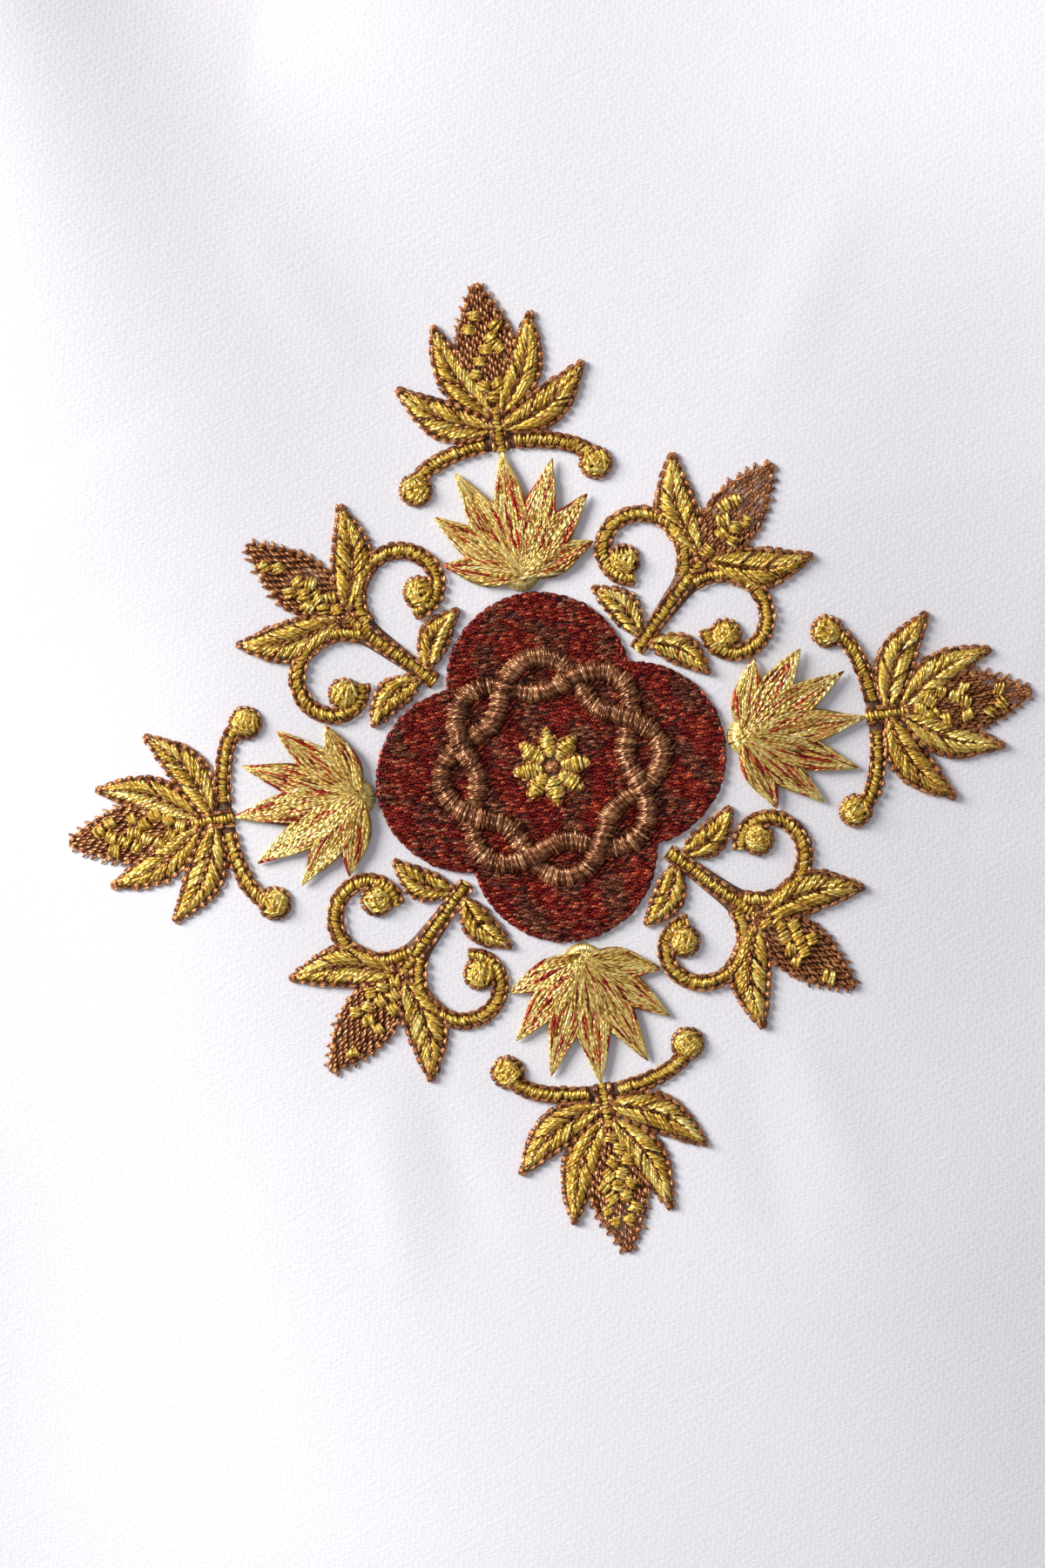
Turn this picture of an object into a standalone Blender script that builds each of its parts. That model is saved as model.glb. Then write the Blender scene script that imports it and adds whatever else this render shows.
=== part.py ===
# Ciborium veil: one hemmed panel of white satin, lying in soft folds, with a raised
# embroidered ornament in its middle. Lengths below are millimetres, +Y is the ornament's top.

import math
from collections import namedtuple

import bpy
import bmesh
import numpy as np
from mathutils import Vector
from mathutils.geometry import delaunay_2d_cdt

MM = 0.001

# The satin panel
PANEL_WIDTH = 220.0
PANEL_LENGTH = 300.0
CLOTH_THICKNESS = 1.2
HEM_WIDTH = 8.0
HEM_RISE = 0.8
HEM_SLOPE = 0.5
EDGE_BOW = 1.6
EDGE_SWAY = 0.3
CELLS_ACROSS = 30
CELLS_ALONG = 42

# Folds: a crest from start to end, its height and its half width at both ends.
# What stays lower than FLAT_BELOW lies flat on the surface.
Fold = namedtuple("Fold", "start end height width")
FOLDS = (
    Fold((-55, 150), (-28, -100), (8.0, 3.0), (16.0, 36.0)),
    Fold((-7, 170), (-7, 25), (5.0, 6.0), (10.0, 50.0)),
    Fold((-20, 90), (75, 55), (0.0, 9.0), (10.0, 35.0)),
    Fold((45, 75), (0, -95), (0.0, 8.0), (20.0, 60.0)),
    Fold((-80, 95), (-60, 40), (5.0, 2.0), (35.0, 15.0)),
    Fold((40, -150), (30, -70), (3.0, 2.0), (40.0, 30.0)),
)
FLAT_BELOW = 0.7
FLAT_BLEND = 1.6
SLOPE_STEP = 0.5

# Raised stitching: its lowest point over the satin, its height at an edge and at its crown
STITCH_GAP = 0.3
UPPER_GAP = 0.4
STITCH_EDGE = 0.45
STITCH_CROWN = 0.95

# Points of a joined outline that are nearer to each other than this become one
MERGE_DISTANCE = 0.08
SLIVER_EDGE = 0.02

# The red field and what lies on it
LOBE_REACH = 9.5
LOBE_RADIUS = 10.5
LOBE_STEPS = 24
FIELD_NET = 4.4
FIELD_NET_MARGIN = 1.2
RING_RADIUS = 10.6
RING_SWING = 2.1
RING_WAVES = 4
CORD_WIDTH = 2.0
ROSETTE_PETALS = 8
ROSETTE_RADIUS = 4.6
PETAL_WIDTH = 2.5
PETAL_FOOT = 0.5
ROSETTE_EYE = 1.75

# Places along a spray's middle line, from the ornament's centre
STEM_WIDTH = 1.8
BUD_STEM = (36.5, 38.4, 42.0)
BUD_FOOT = 41.0
BUD_TIP = 56.0
BUD_WIDTH = 6.6
SCROLL_STEM = (16.4, 22.0, 29.5)
TIP_LEAF_FOOT = 28.5
TIP_LEAF_TIP = 43.0
TIP_LEAF_WIDTH = 6.0

# The scrolls: where the stem leaves the middle line, and the spiral's centre, radii and
# angles, in half turns
SCROLL_START = 19.0
SCROLL_CENTRE = (6.6, 25.2)
SCROLL_OUTER = 6.2
SCROLL_INNER = 2.6
SCROLL_FROM = 1.02
SCROLL_TO = -0.70
BERRY_RADIUS = 1.7
BERRY_CENTRE = (7.2, 23.9)

# The side stems under a bud
TENDRIL_START = 37.6
TENDRIL_REACH = 10.4
TENDRIL_DROP = 4.0

# Narrow leaves of the sprays: base, tip, width, sideways bow. Only the right-hand one is given,
# the left-hand one is its mirror image. A leaf is widest where its fullness puts it.
LEAF_FULLNESS = 0.85
Leaf = namedtuple("Leaf", "base tip width bow")
BUD_LEAVES = (
    Leaf((0.4, 40.6), (5.6, 52.0), 4.0, 1.1),
    Leaf((0.3, 39.0), (10.8, 45.4), 4.2, 1.3),
)
SCROLL_LEAVES = (
    Leaf((0.5, 29.5), (10.0, 37.2), 4.6, 1.2),
    Leaf((0.6, 18.0), (8.4, 19.2), 3.4, -1.0),
)

# Lobes of a palmette: angle from its axis, length, width
Lobe = namedtuple("Lobe", "angle length width")
PALMETTE_FOOT = 22.2
PALMETTE_DISC = (22.6, 2.3)
PALMETTE_LOBES = (
    Lobe(0, 14.0, 4.4),
    Lobe(24, 13.4, 4.2),
    Lobe(48, 11.6, 4.0),
    Lobe(74, 8.8, 3.8),
)

# Colours, linear RGB, and roughness
SATIN = ("satin", (0.86, 0.86, 0.88), 0.38)
RED_THREAD = ("red_thread", (0.20, 0.020, 0.014), 0.40)
COPPER_THREAD = ("copper_thread", (0.40, 0.17, 0.085), 0.35)
GOLD_THREAD = ("gold_thread", (0.62, 0.42, 0.12), 0.30)
PALE_GOLD_THREAD = ("pale_gold_thread", (0.82, 0.66, 0.30), 0.32)


def fold_height(x, y):
    # Sum of soft crests, each a bell across its line, brought to zero where it is low.
    x = np.asarray(x, dtype=float)
    y = np.asarray(y, dtype=float)
    total = np.zeros_like(x)
    for fold in FOLDS:
        start = np.array(fold.start, dtype=float)
        run = np.array(fold.end, dtype=float) - start
        along = ((x - start[0]) * run[0] + (y - start[1]) * run[1]) / (run @ run)
        t = np.clip(along, 0.0, 1.0)
        off = np.hypot(x - start[0] - t * run[0], y - start[1] - t * run[1])
        height = fold.height[0] + (fold.height[1] - fold.height[0]) * t
        width = fold.width[0] + (fold.width[1] - fold.width[0]) * t
        total += height * np.exp(-((off / width) ** 2))
    raised = np.clip(total - FLAT_BELOW, 0.0, None)
    return raised * raised / (raised + FLAT_BLEND)


def satin_top(x, y):
    # Height of the satin's upper face, a cloth thickness off the folds along their slope.
    step = SLOPE_STEP
    slope_x = (fold_height(x + step, y) - fold_height(x - step, y)) / (2 * step)
    slope_y = (fold_height(x, y + step) - fold_height(x, y - step)) / (2 * step)
    return fold_height(x, y) + CLOTH_THICKNESS * np.sqrt(1 + slope_x ** 2 + slope_y ** 2)


def grid_lines(length, cells):
    # Even steps across the middle, with a line on each side of the hem's inner edge.
    half = length / 2
    inner = half - HEM_WIDTH
    even = np.linspace(-inner + HEM_SLOPE, inner - HEM_SLOPE, cells + 1)
    return np.concatenate(([-half, -inner], even, [inner, half]))


def finish_colour(obj, colour):
    name, rgb, roughness = colour
    material = bpy.data.materials.get(name) or bpy.data.materials.new(name)
    material.use_nodes = True
    shader = material.node_tree.nodes["Principled BSDF"]
    shader.inputs["Base Color"].default_value = (*rgb, 1.0)
    shader.inputs["Roughness"].default_value = roughness
    shader.inputs["Metallic"].default_value = 0.0
    obj.data.materials.append(material)


def add_object(bm, name, colour, collection):
    mesh = bpy.data.meshes.new(name)
    bm.to_mesh(mesh)
    bm.free()
    obj = bpy.data.objects.new(name, mesh)
    collection.objects.link(obj)
    finish_colour(obj, colour)
    mesh.shade_smooth()
    mesh.set_sharp_from_angle(angle=math.radians(40))
    return obj


def make_satin(collection):
    # The underside is a grid raised into the folds; Solidify gives it the cloth's thickness,
    # and more of it along the hem. Its sides bow in a little between the corners.
    lines_x = grid_lines(PANEL_WIDTH, CELLS_ACROSS)
    lines_y = grid_lines(PANEL_LENGTH, CELLS_ALONG)
    bm = bmesh.new()
    bmesh.ops.create_grid(bm, x_segments=len(lines_x) - 1, y_segments=len(lines_y) - 1, size=1.0)
    hem = []
    for vert in bm.verts:
        column = round((vert.co.x + 1) / 2 * (len(lines_x) - 1))
        row = round((vert.co.y + 1) / 2 * (len(lines_y) - 1))
        x = lines_x[column]
        y = lines_y[row]
        u = x / (PANEL_WIDTH / 2)
        v = y / (PANEL_LENGTH / 2)
        x -= u * abs(u) * EDGE_BOW * (1 - v * v) * (1 - EDGE_SWAY + EDGE_SWAY * math.sin(4 * v + 2 * u))
        y -= v * abs(v) * EDGE_BOW * (1 - u * u) * (1 - EDGE_SWAY - EDGE_SWAY * math.sin(3 * u + 2 * v))
        vert.co = Vector((x, y, float(fold_height(x, y)))) * MM
        on_hem = column < 2 or row < 2 or column > len(lines_x) - 3 or row > len(lines_y) - 3
        if on_hem:
            hem.append(vert.index)
    count = len(bm.verts)
    satin = add_object(bm, "satin_ground", SATIN, collection)
    thick = satin.vertex_groups.new(name="cloth")
    full = CLOTH_THICKNESS + HEM_RISE
    thick.add(list(range(count)), CLOTH_THICKNESS / full, "REPLACE")
    thick.add(hem, 1.0, "REPLACE")
    shell = satin.modifiers.new("thickness", "SOLIDIFY")
    shell.thickness = full * MM
    shell.offset = 1.0
    shell.vertex_group = thick.name
    return satin


def turned(points, angle):
    c = math.cos(angle)
    s = math.sin(angle)
    return [(c * x - s * y, s * x + c * y) for x, y in points]


def mirrored(points):
    return [(-x, y) for x, y in reversed(points)]


def leaf(base, tip, width, bow, steps=5):
    # A pointed oval about a bowed midrib: half width follows a sine, fullest below the middle.
    base = Vector(base)
    run = Vector(tip) - base
    side = Vector((-run.y, run.x)).normalized()
    right = []
    left = []
    rib = []
    for i in range(steps + 1):
        t = i / steps
        middle = base + run * t - side * (bow * math.sin(math.pi * t))
        half = width / 2 * math.sin(math.pi * t ** LEAF_FULLNESS)
        if 0 < i < steps:
            rib.append(tuple(middle))
            left.append(tuple(middle + side * half))
        right.append(tuple(middle - side * half))
    return right + left[::-1], rib


def disc(centre, radius, steps=8):
    rim = [(centre[0] + radius * math.cos(2 * math.pi * i / steps),
            centre[1] + radius * math.sin(2 * math.pi * i / steps)) for i in range(steps)]
    return rim, [centre]


def band(path, width, closed=False):
    # A strip along a path, as four-sided pieces on both sides of its middle line.
    points = [Vector(p) for p in path]
    count = len(points)
    sides = []
    for i, point in enumerate(points):
        before = points[i - 1] if closed or i else point
        after = points[(i + 1) % count] if closed or i < count - 1 else point
        across = (after - before).normalized()
        across = Vector((-across.y, across.x)) * (width / 2)
        sides.append((point + across, point, point - across))
    pieces = []
    for i in range(count if closed else count - 1):
        here = sides[i]
        there = sides[(i + 1) % count]
        for a, b in ((0, 1), (1, 2)):
            pieces.append([tuple(here[b]), tuple(there[b]), tuple(there[a]), tuple(here[a])])
    return pieces


def scroll_path(side, steps=12):
    # A stem that leaves the middle line and winds inwards round its own centre.
    path = [(0.0, SCROLL_START)]
    for i in range(steps + 1):
        t = i / steps
        angle = math.pi * (SCROLL_FROM + (SCROLL_TO - SCROLL_FROM) * t)
        radius = SCROLL_OUTER + (SCROLL_INNER - SCROLL_OUTER) * t
        path.append((SCROLL_CENTRE[0] + radius * math.cos(angle),
                     SCROLL_CENTRE[1] + radius * math.sin(angle)))
    return [(side * x, y) for x, y in path]


def tendril_path(side, steps=5):
    # A quarter turn out of the bud's stem, towards the berry at its end.
    path = []
    for i in range(steps + 1):
        t = i / steps
        x = TENDRIL_REACH * math.sin(math.pi / 2 * t)
        y = TENDRIL_START - TENDRIL_DROP * (1 - math.cos(math.pi / 2 * t))
        path.append((side * x, y))
    return path


def joined_shape(outlines, inner):
    # One flat mesh of all that the outlines cover, with the inner points in it.
    coords = []
    faces = []
    for outline in outlines:
        faces.append(list(range(len(coords), len(coords) + len(outline))))
        coords.extend(Vector(p) for p in outline)
    coords.extend(Vector(p) for p in inner)
    joined = delaunay_2d_cdt(coords, [], faces, 1, 1e-4)
    points = joined[0]
    keep = [tri for tri, source in zip(joined[2], joined[5]) if source]
    flat = bmesh.new()
    verts = [flat.verts.new((p.x, p.y, 0.0)) for p in points]
    for tri in keep:
        flat.faces.new([verts[i] for i in tri])
    loose = [v for v in flat.verts if not v.link_faces]
    bmesh.ops.delete(flat, geom=loose, context="VERTS")
    bmesh.ops.remove_doubles(flat, verts=flat.verts, dist=MERGE_DISTANCE)
    bmesh.ops.dissolve_degenerate(flat, edges=flat.edges, dist=SLIVER_EDGE)
    bmesh.ops.triangulate(flat, faces=flat.faces)
    bmesh.ops.recalc_face_normals(flat, faces=flat.faces)
    if sum(face.normal.z for face in flat.faces) < 0:
        bmesh.ops.reverse_faces(flat, faces=flat.faces)
    flat.verts.ensure_lookup_table()
    flat.verts.index_update()
    return flat


def stitched_pad(name, outlines, inner, colour, collection, angle=0.0, lift=STITCH_GAP):
    # The flat shape is turned by the angle and raised: its edge stays low, its inner points
    # are higher. Both faces follow the satin's folds.
    flat = joined_shape(outlines, inner)
    bm = bmesh.new()
    lower = []
    upper = []
    for vert in flat.verts:
        x, y = turned([vert.co.xy], angle)[0]
        floor = float(satin_top(x, y)) + lift
        height = STITCH_EDGE if vert.is_boundary else STITCH_CROWN
        lower.append(bm.verts.new((x * MM, y * MM, floor * MM)))
        upper.append(bm.verts.new((x * MM, y * MM, (floor + height) * MM)))
    for face in flat.faces:
        bm.faces.new([upper[v.index] for v in face.verts])
        bm.faces.new([lower[v.index] for v in reversed(face.verts)])
    for edge in flat.edges:
        if edge.is_boundary:
            face = edge.link_faces[0]
            a, b = edge.verts
            order = [v.index for v in face.verts]
            if order[(order.index(a.index) + 1) % len(order)] != b.index:
                a, b = b, a
            bm.faces.new([lower[a.index], lower[b.index], upper[b.index], upper[a.index]])
    flat.free()
    bmesh.ops.triangulate(bm, faces=bm.faces)
    return add_object(bm, name, colour, collection)


def red_field(collection):
    # Four lobes about a square, with an even net of inner points.
    outlines = [[(-LOBE_REACH, -LOBE_REACH), (LOBE_REACH, -LOBE_REACH),
                 (LOBE_REACH, LOBE_REACH), (-LOBE_REACH, LOBE_REACH)]]
    for turn in range(4):
        rim = disc((LOBE_REACH, 0), LOBE_RADIUS, LOBE_STEPS)[0]
        outlines.append(turned(rim, turn * math.pi / 2))
    inner = []
    reach = int((LOBE_REACH + LOBE_RADIUS) / FIELD_NET)
    for row in range(-reach, reach + 1):
        for column in range(-reach, reach + 1):
            x, y = column * FIELD_NET, row * FIELD_NET
            nearest = min(math.hypot(x - LOBE_REACH * math.cos(q), y - LOBE_REACH * math.sin(q))
                          for q in (0, math.pi / 2, math.pi, -math.pi / 2))
            if nearest < LOBE_RADIUS - FIELD_NET_MARGIN:
                inner.append((x, y))
    stitched_pad("red_field", outlines, inner, RED_THREAD, collection)


def braid_ring(collection):
    # Two strands that swing about one circle in opposite senses.
    outlines = []
    steps = RING_WAVES * 9
    for sense in (1, -1):
        path = []
        for i in range(steps):
            angle = 2 * math.pi * i / steps
            radius = RING_RADIUS + sense * RING_SWING * math.cos(RING_WAVES * angle)
            path.append((radius * math.cos(angle), radius * math.sin(angle)))
        outlines.extend(band(path, CORD_WIDTH, closed=True))
    lift = STITCH_GAP + STITCH_CROWN + UPPER_GAP
    stitched_pad("braid_ring", outlines, [], COPPER_THREAD, collection, lift=lift)


def rosette(collection):
    outlines = [disc((0, 0), ROSETTE_EYE)[0]]
    inner = [(0, 0)]
    for i in range(ROSETTE_PETALS):
        angle = 2 * math.pi * i / ROSETTE_PETALS
        rim, rib = leaf((0, PETAL_FOOT), (0, ROSETTE_RADIUS), PETAL_WIDTH, 0, 3)
        outlines.append(turned(rim, angle))
        inner.extend(turned(rib, angle))
    lift = STITCH_GAP + STITCH_CROWN + UPPER_GAP
    stitched_pad("rosette", outlines, inner, GOLD_THREAD, collection, lift=lift)


def palmette(name, angle, collection):
    middle = (0, PALMETTE_DISC[0])
    outlines = [disc(middle, PALMETTE_DISC[1], 12)[0]]
    inner = [middle]
    for lobe in PALMETTE_LOBES:
        for side in ((1, -1) if lobe.angle else (1,)):
            a = math.radians(lobe.angle) * side
            tip = (lobe.length * math.sin(a), PALMETTE_FOOT + lobe.length * math.cos(a))
            rim, rib = leaf((0.0, PALMETTE_FOOT), tip, lobe.width, 0)
            outlines.append(rim)
            inner.extend(rib)
    stitched_pad(name, outlines, inner, PALE_GOLD_THREAD, collection, angle)


def spray(name, stems, leaves, discs, angle, collection):
    outlines = []
    inner = []
    for path in stems:
        outlines.extend(band(path, STEM_WIDTH))
    for item in leaves:
        rim, rib = leaf(*item)
        outlines.append(rim)
        inner.extend(rib)
        if item.tip[0] != 0:
            outlines.append(mirrored(rim))
            inner.extend(mirrored(rib))
    for centre, radius in discs:
        rim, middle = disc(centre, radius)
        outlines.append(rim)
        inner.extend(middle)
    stitched_pad(name, outlines, inner, GOLD_THREAD, collection, angle)


def main():
    for obj in list(bpy.data.objects):
        bpy.data.objects.remove(obj, do_unlink=True)
    collection = bpy.data.collections.new("ciborium_veil")
    bpy.context.scene.collection.children.link(collection)

    make_satin(collection)
    red_field(collection)
    braid_ring(collection)
    rosette(collection)
    bud = Leaf((0, BUD_FOOT), (0, BUD_TIP), BUD_WIDTH, 0)
    tip_leaf = Leaf((0, TIP_LEAF_FOOT), (0, TIP_LEAF_TIP), TIP_LEAF_WIDTH, 0)
    bud_stems = [[(0, y) for y in BUD_STEM], tendril_path(1), tendril_path(-1)]
    scroll_stems = [[(0, y) for y in SCROLL_STEM], scroll_path(1), scroll_path(-1)]
    bud_berries = [(tendril_path(side)[-1], BERRY_RADIUS) for side in (1, -1)]
    scroll_berries = [((side * BERRY_CENTRE[0], BERRY_CENTRE[1]), BERRY_RADIUS) for side in (1, -1)]
    for i in range(4):
        angle = -i * math.pi / 2
        palmette(f"palmette_{i + 1}", angle, collection)
        spray(f"bud_spray_{i + 1}", bud_stems, (bud,) + BUD_LEAVES, bud_berries,
              angle, collection)
        spray(f"scroll_spray_{i + 1}", scroll_stems, (tip_leaf,) + SCROLL_LEAVES, scroll_berries,
              angle - math.pi / 4, collection)


main()
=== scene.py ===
# The looks of the ciborium veil: white satin with a four-way machine-embroidered ornament.
# Lengths in the dictionaries are millimetres, +Y is the top of the ornament.

import math
from collections import namedtuple

import bpy
import numpy as np
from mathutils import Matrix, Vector
from mathutils.geometry import delaunay_2d_cdt


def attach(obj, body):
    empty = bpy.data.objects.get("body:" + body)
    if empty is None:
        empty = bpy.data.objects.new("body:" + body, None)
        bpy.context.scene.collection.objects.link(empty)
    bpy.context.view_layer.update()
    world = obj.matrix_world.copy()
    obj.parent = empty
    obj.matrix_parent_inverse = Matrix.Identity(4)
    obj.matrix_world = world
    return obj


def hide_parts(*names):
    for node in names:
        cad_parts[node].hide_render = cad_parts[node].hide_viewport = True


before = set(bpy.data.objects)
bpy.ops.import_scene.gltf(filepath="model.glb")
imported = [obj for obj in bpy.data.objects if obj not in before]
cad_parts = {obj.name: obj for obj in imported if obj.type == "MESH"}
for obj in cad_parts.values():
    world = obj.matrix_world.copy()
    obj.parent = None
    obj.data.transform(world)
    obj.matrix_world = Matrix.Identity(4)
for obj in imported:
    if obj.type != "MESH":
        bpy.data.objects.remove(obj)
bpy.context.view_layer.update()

mm = 0.001
rng = np.random.default_rng(11)

cloth = {
    "width": 220.0,
    "length": 300.0,
    "thickness": 1.2,        # of the laid satin, from the surface to its right side
    "sheet": 0.55,           # of the satin itself
    "hemWidth": 8.0,
    "hemRise": 0.8,
    "edgeBow": 1.6,          # how far the sides bow in at their middle
    "edgeSway": 0.3,         # share of that bow which is uneven
    "flatBelow": 0.7,        # folds lower than this lie flat
    "flatBlend": 1.6,
}

# The crest of each fold runs from start to end, near the end of a bright band of the photo,
# with its own height and half width at both ends.
Fold = namedtuple("Fold", "start end height width")
folds = [
    Fold((-55, 150), (-28, -100), (8.0, 3.0), (16.0, 36.0)),
    Fold((-7, 170), (-7, 25), (5.0, 6.0), (10.0, 50.0)),
    Fold((-20, 90), (75, 55), (0.0, 9.0), (10.0, 35.0)),
    Fold((45, 75), (0, -95), (0.0, 8.0), (20.0, 60.0)),
    Fold((-80, 95), (-60, 40), (5.0, 2.0), (35.0, 15.0)),
    Fold((40, -150), (30, -70), (3.0, 2.0), (40.0, 30.0)),
]

# Small soft creases beside the stitching; a trough's rise is below zero.
Crease = namedtuple("Crease", "start end rise width")
creases = [
    Crease((-20, -31), (-16, -54), -0.20, 3.0),
    Crease((-26, -34), (-25, -58), 0.22, 3.4),
    Crease((22, -33), (29, -58), 0.20, 3.4),
    Crease((16, -36), (19, -60), -0.16, 3.2),
    Crease((-36, 24), (-60, 38), 0.20, 4.0),
    Crease((30, 38), (44, 60), 0.16, 4.0),
    Crease((-14, 47), (-26, 68), 0.16, 3.6),
    Crease((46, -16), (68, -24), 0.16, 4.0),
]


def unit(ways):
    # The same directions, each of length 1.
    return ways / np.maximum(np.linalg.norm(ways, axis=1, keepdims=True), 1e-9)


def leftOf(ways):
    # The directions turned a quarter to the left.
    return np.stack((-ways[..., 1], ways[..., 0]), -1)


def polar(radius, angle):
    return np.stack((radius * np.cos(angle), radius * np.sin(angle)), -1)


def acrossLine(x, y, start, end):
    # Distance from a line piece, and how far along it the nearest point is, from 0 to 1.
    ax, ay = start
    dx, dy = end[0] - ax, end[1] - ay
    t = np.clip(((x - ax) * dx + (y - ay) * dy) / (dx * dx + dy * dy), 0.0, 1.0)
    return np.hypot(x - ax - t * dx, y - ay - t * dy), t


def foldHeight(x, y):
    # Sum of bells across each crest line, brought to zero where the sum is low.
    total = np.zeros_like(np.asarray(x, dtype=float))
    for fold in folds:
        off, t = acrossLine(x, y, fold.start, fold.end)
        height = fold.height[0] + (fold.height[1] - fold.height[0]) * t
        width = fold.width[0] + (fold.width[1] - fold.width[0]) * t
        total = total + height * np.exp(-((off / width) ** 2))
    raised = np.clip(total - cloth["flatBelow"], 0.0, None)
    return raised * raised / (raised + cloth["flatBlend"])


def creaseHeight(x, y):
    # Bells across short lines, fading to nothing at both ends.
    total = np.zeros_like(np.asarray(x, dtype=float))
    for crease in creases:
        off, t = acrossLine(x, y, crease.start, crease.end)
        fade = np.sin(math.pi * np.clip(t, 0.02, 0.98)) ** 0.7
        total = total + crease.rise * fade * np.exp(-((off / crease.width) ** 2))
    return total


def satinTop(x, y):
    # Right side of the satin: the folds, the cloth's thickness along their slope, and the creases.
    step = 0.5
    slopeX = (foldHeight(x + step, y) - foldHeight(x - step, y)) / (2 * step)
    slopeY = (foldHeight(x, y + step) - foldHeight(x, y - step)) / (2 * step)
    rise = cloth["thickness"] * np.sqrt(1 + slopeX ** 2 + slopeY ** 2)
    return foldHeight(x, y) + rise + creaseHeight(x, y)


def bowedIn(x, y):
    # The panel's places with its sides bowed in: each moves towards the middle by the square of
    # its share of the half side, less near the corners, and unevenly by a sine along the side.
    u = x / (cloth["width"] / 2)
    v = y / (cloth["length"] / 2)
    even, sway = 1 - cloth["edgeSway"], cloth["edgeSway"]
    inX = u * np.abs(u) * (1 - v * v) * (even + sway * np.sin(4 * v + 2 * u))
    inY = v * np.abs(v) * (1 - u * u) * (even - sway * np.sin(3 * u + 2 * v))
    return x - inX * cloth["edgeBow"], y - inY * cloth["edgeBow"]


# Materials

sheenRoughness = 0.45


def newMaterial(name, roughness, metallic=0.0, sheen=0.0):
    material = bpy.data.materials.new(name)
    material.use_nodes = True
    shader = material.node_tree.nodes["Principled BSDF"]
    shader.inputs["Roughness"].default_value = roughness
    shader.inputs["Metallic"].default_value = metallic
    shader.inputs["Sheen Weight"].default_value = sheen
    shader.inputs["Sheen Roughness"].default_value = sheenRoughness
    return material, material.node_tree, shader


def objectPlace(tree):
    return tree.nodes.new("ShaderNodeTexCoord").outputs["Object"]


def mathNode(tree, operation, a, b=None):
    node = tree.nodes.new("ShaderNodeMath")
    node.operation = operation
    for socket, value in zip(node.inputs, (a, b)):
        if value is None:
            continue
        if isinstance(value, (int, float)):
            socket.default_value = value
        else:
            tree.links.new(value, socket)
    return node.outputs[0]


def noiseNode(tree, coords, scale, detail=2.0):
    node = tree.nodes.new("ShaderNodeTexNoise")
    node.inputs["Scale"].default_value = scale
    node.inputs["Detail"].default_value = detail
    tree.links.new(coords, node.inputs["Vector"])
    return node.outputs["Fac"]


def rampNode(tree, value, stops):
    node = tree.nodes.new("ShaderNodeValToRGB")
    ramp = node.color_ramp
    while len(ramp.elements) < len(stops):
        ramp.elements.new(0.5)
    for element, (place, colour) in zip(ramp.elements, stops):
        element.position = place
        element.color = (*colour, 1.0)
    tree.links.new(value, node.inputs["Fac"])
    return node.outputs["Color"]


def bumpNode(tree, height, strength, distance, shader):
    node = tree.nodes.new("ShaderNodeBump")
    node.inputs["Strength"].default_value = strength
    node.inputs["Distance"].default_value = distance
    tree.links.new(height, node.inputs["Height"])
    tree.links.new(node.outputs["Normal"], shader.inputs["Normal"])


satinLook = {
    "light": (0.91, 0.892, 0.925),
    "dark": (0.825, 0.81, 0.86),
    "roughness": 0.42,
    "sheen": 0.25,
    "bump": 0.09,
    "bumpDepth": 0.00010,
    "grainScale": (1500.0, 4200.0, 1500.0),
    "grainWeight": 7.0,
    "breakScale": 900.0,
    "breakUp": 3.0,
    "toneMiddle": 0.6,
    "toneGain": 0.12,
    # the weave's wave lengths in millimetres, their directions in degrees, and weights
    "waves": [(0.900, 111.0, 0.35), (0.693, 24.7, 0.35), (0.567, -14.0, 0.3), (0.533, 62.0, 0.25)],
}


def makeSatinMaterial():
    # The float pattern of the weave is a sum of sine waves in four directions, broken up by
    # noise. It drives a faint bump and a faint change of tone.
    material, tree, shader = newMaterial("satin", satinLook["roughness"], 0.0, satinLook["sheen"])
    place = objectPlace(tree)
    broken = noiseNode(tree, place, satinLook["breakScale"])
    total = None
    for length, direction, weight in satinLook["waves"]:
        angle = math.radians(direction)
        pull = 2 * math.pi / (length * mm)
        dot = tree.nodes.new("ShaderNodeVectorMath")
        dot.operation = "DOT_PRODUCT"
        dot.inputs[1].default_value = (pull * math.cos(angle), pull * math.sin(angle), 0.0)
        tree.links.new(place, dot.inputs[0])
        phase = mathNode(tree, "MULTIPLY_ADD", broken, satinLook["breakUp"])
        tree.links.new(dot.outputs["Value"], phase.node.inputs[2])
        wave = mathNode(tree, "MULTIPLY", mathNode(tree, "SINE", phase), weight)
        total = wave if total is None else mathNode(tree, "ADD", total, wave)
    stretched = tree.nodes.new("ShaderNodeMapping")
    stretched.inputs["Scale"].default_value = satinLook["grainScale"]
    tree.links.new(place, stretched.inputs["Vector"])
    grain = noiseNode(tree, stretched.outputs["Vector"], 1.0, 1.0)
    grain = mathNode(tree, "SUBTRACT", grain, 0.5)
    grain = mathNode(tree, "MULTIPLY", grain, satinLook["grainWeight"])
    total = mathNode(tree, "ADD", total, grain)
    tone = mathNode(tree, "MULTIPLY_ADD", total, satinLook["toneGain"])
    tone.node.inputs[2].default_value = satinLook["toneMiddle"]
    colour = rampNode(tree, tone, [(0.0, satinLook["dark"]), (1.0, satinLook["light"])])
    tree.links.new(colour, shader.inputs["Base Color"])
    bumpNode(tree, total, satinLook["bump"], satinLook["bumpDepth"], shader)
    return material


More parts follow.
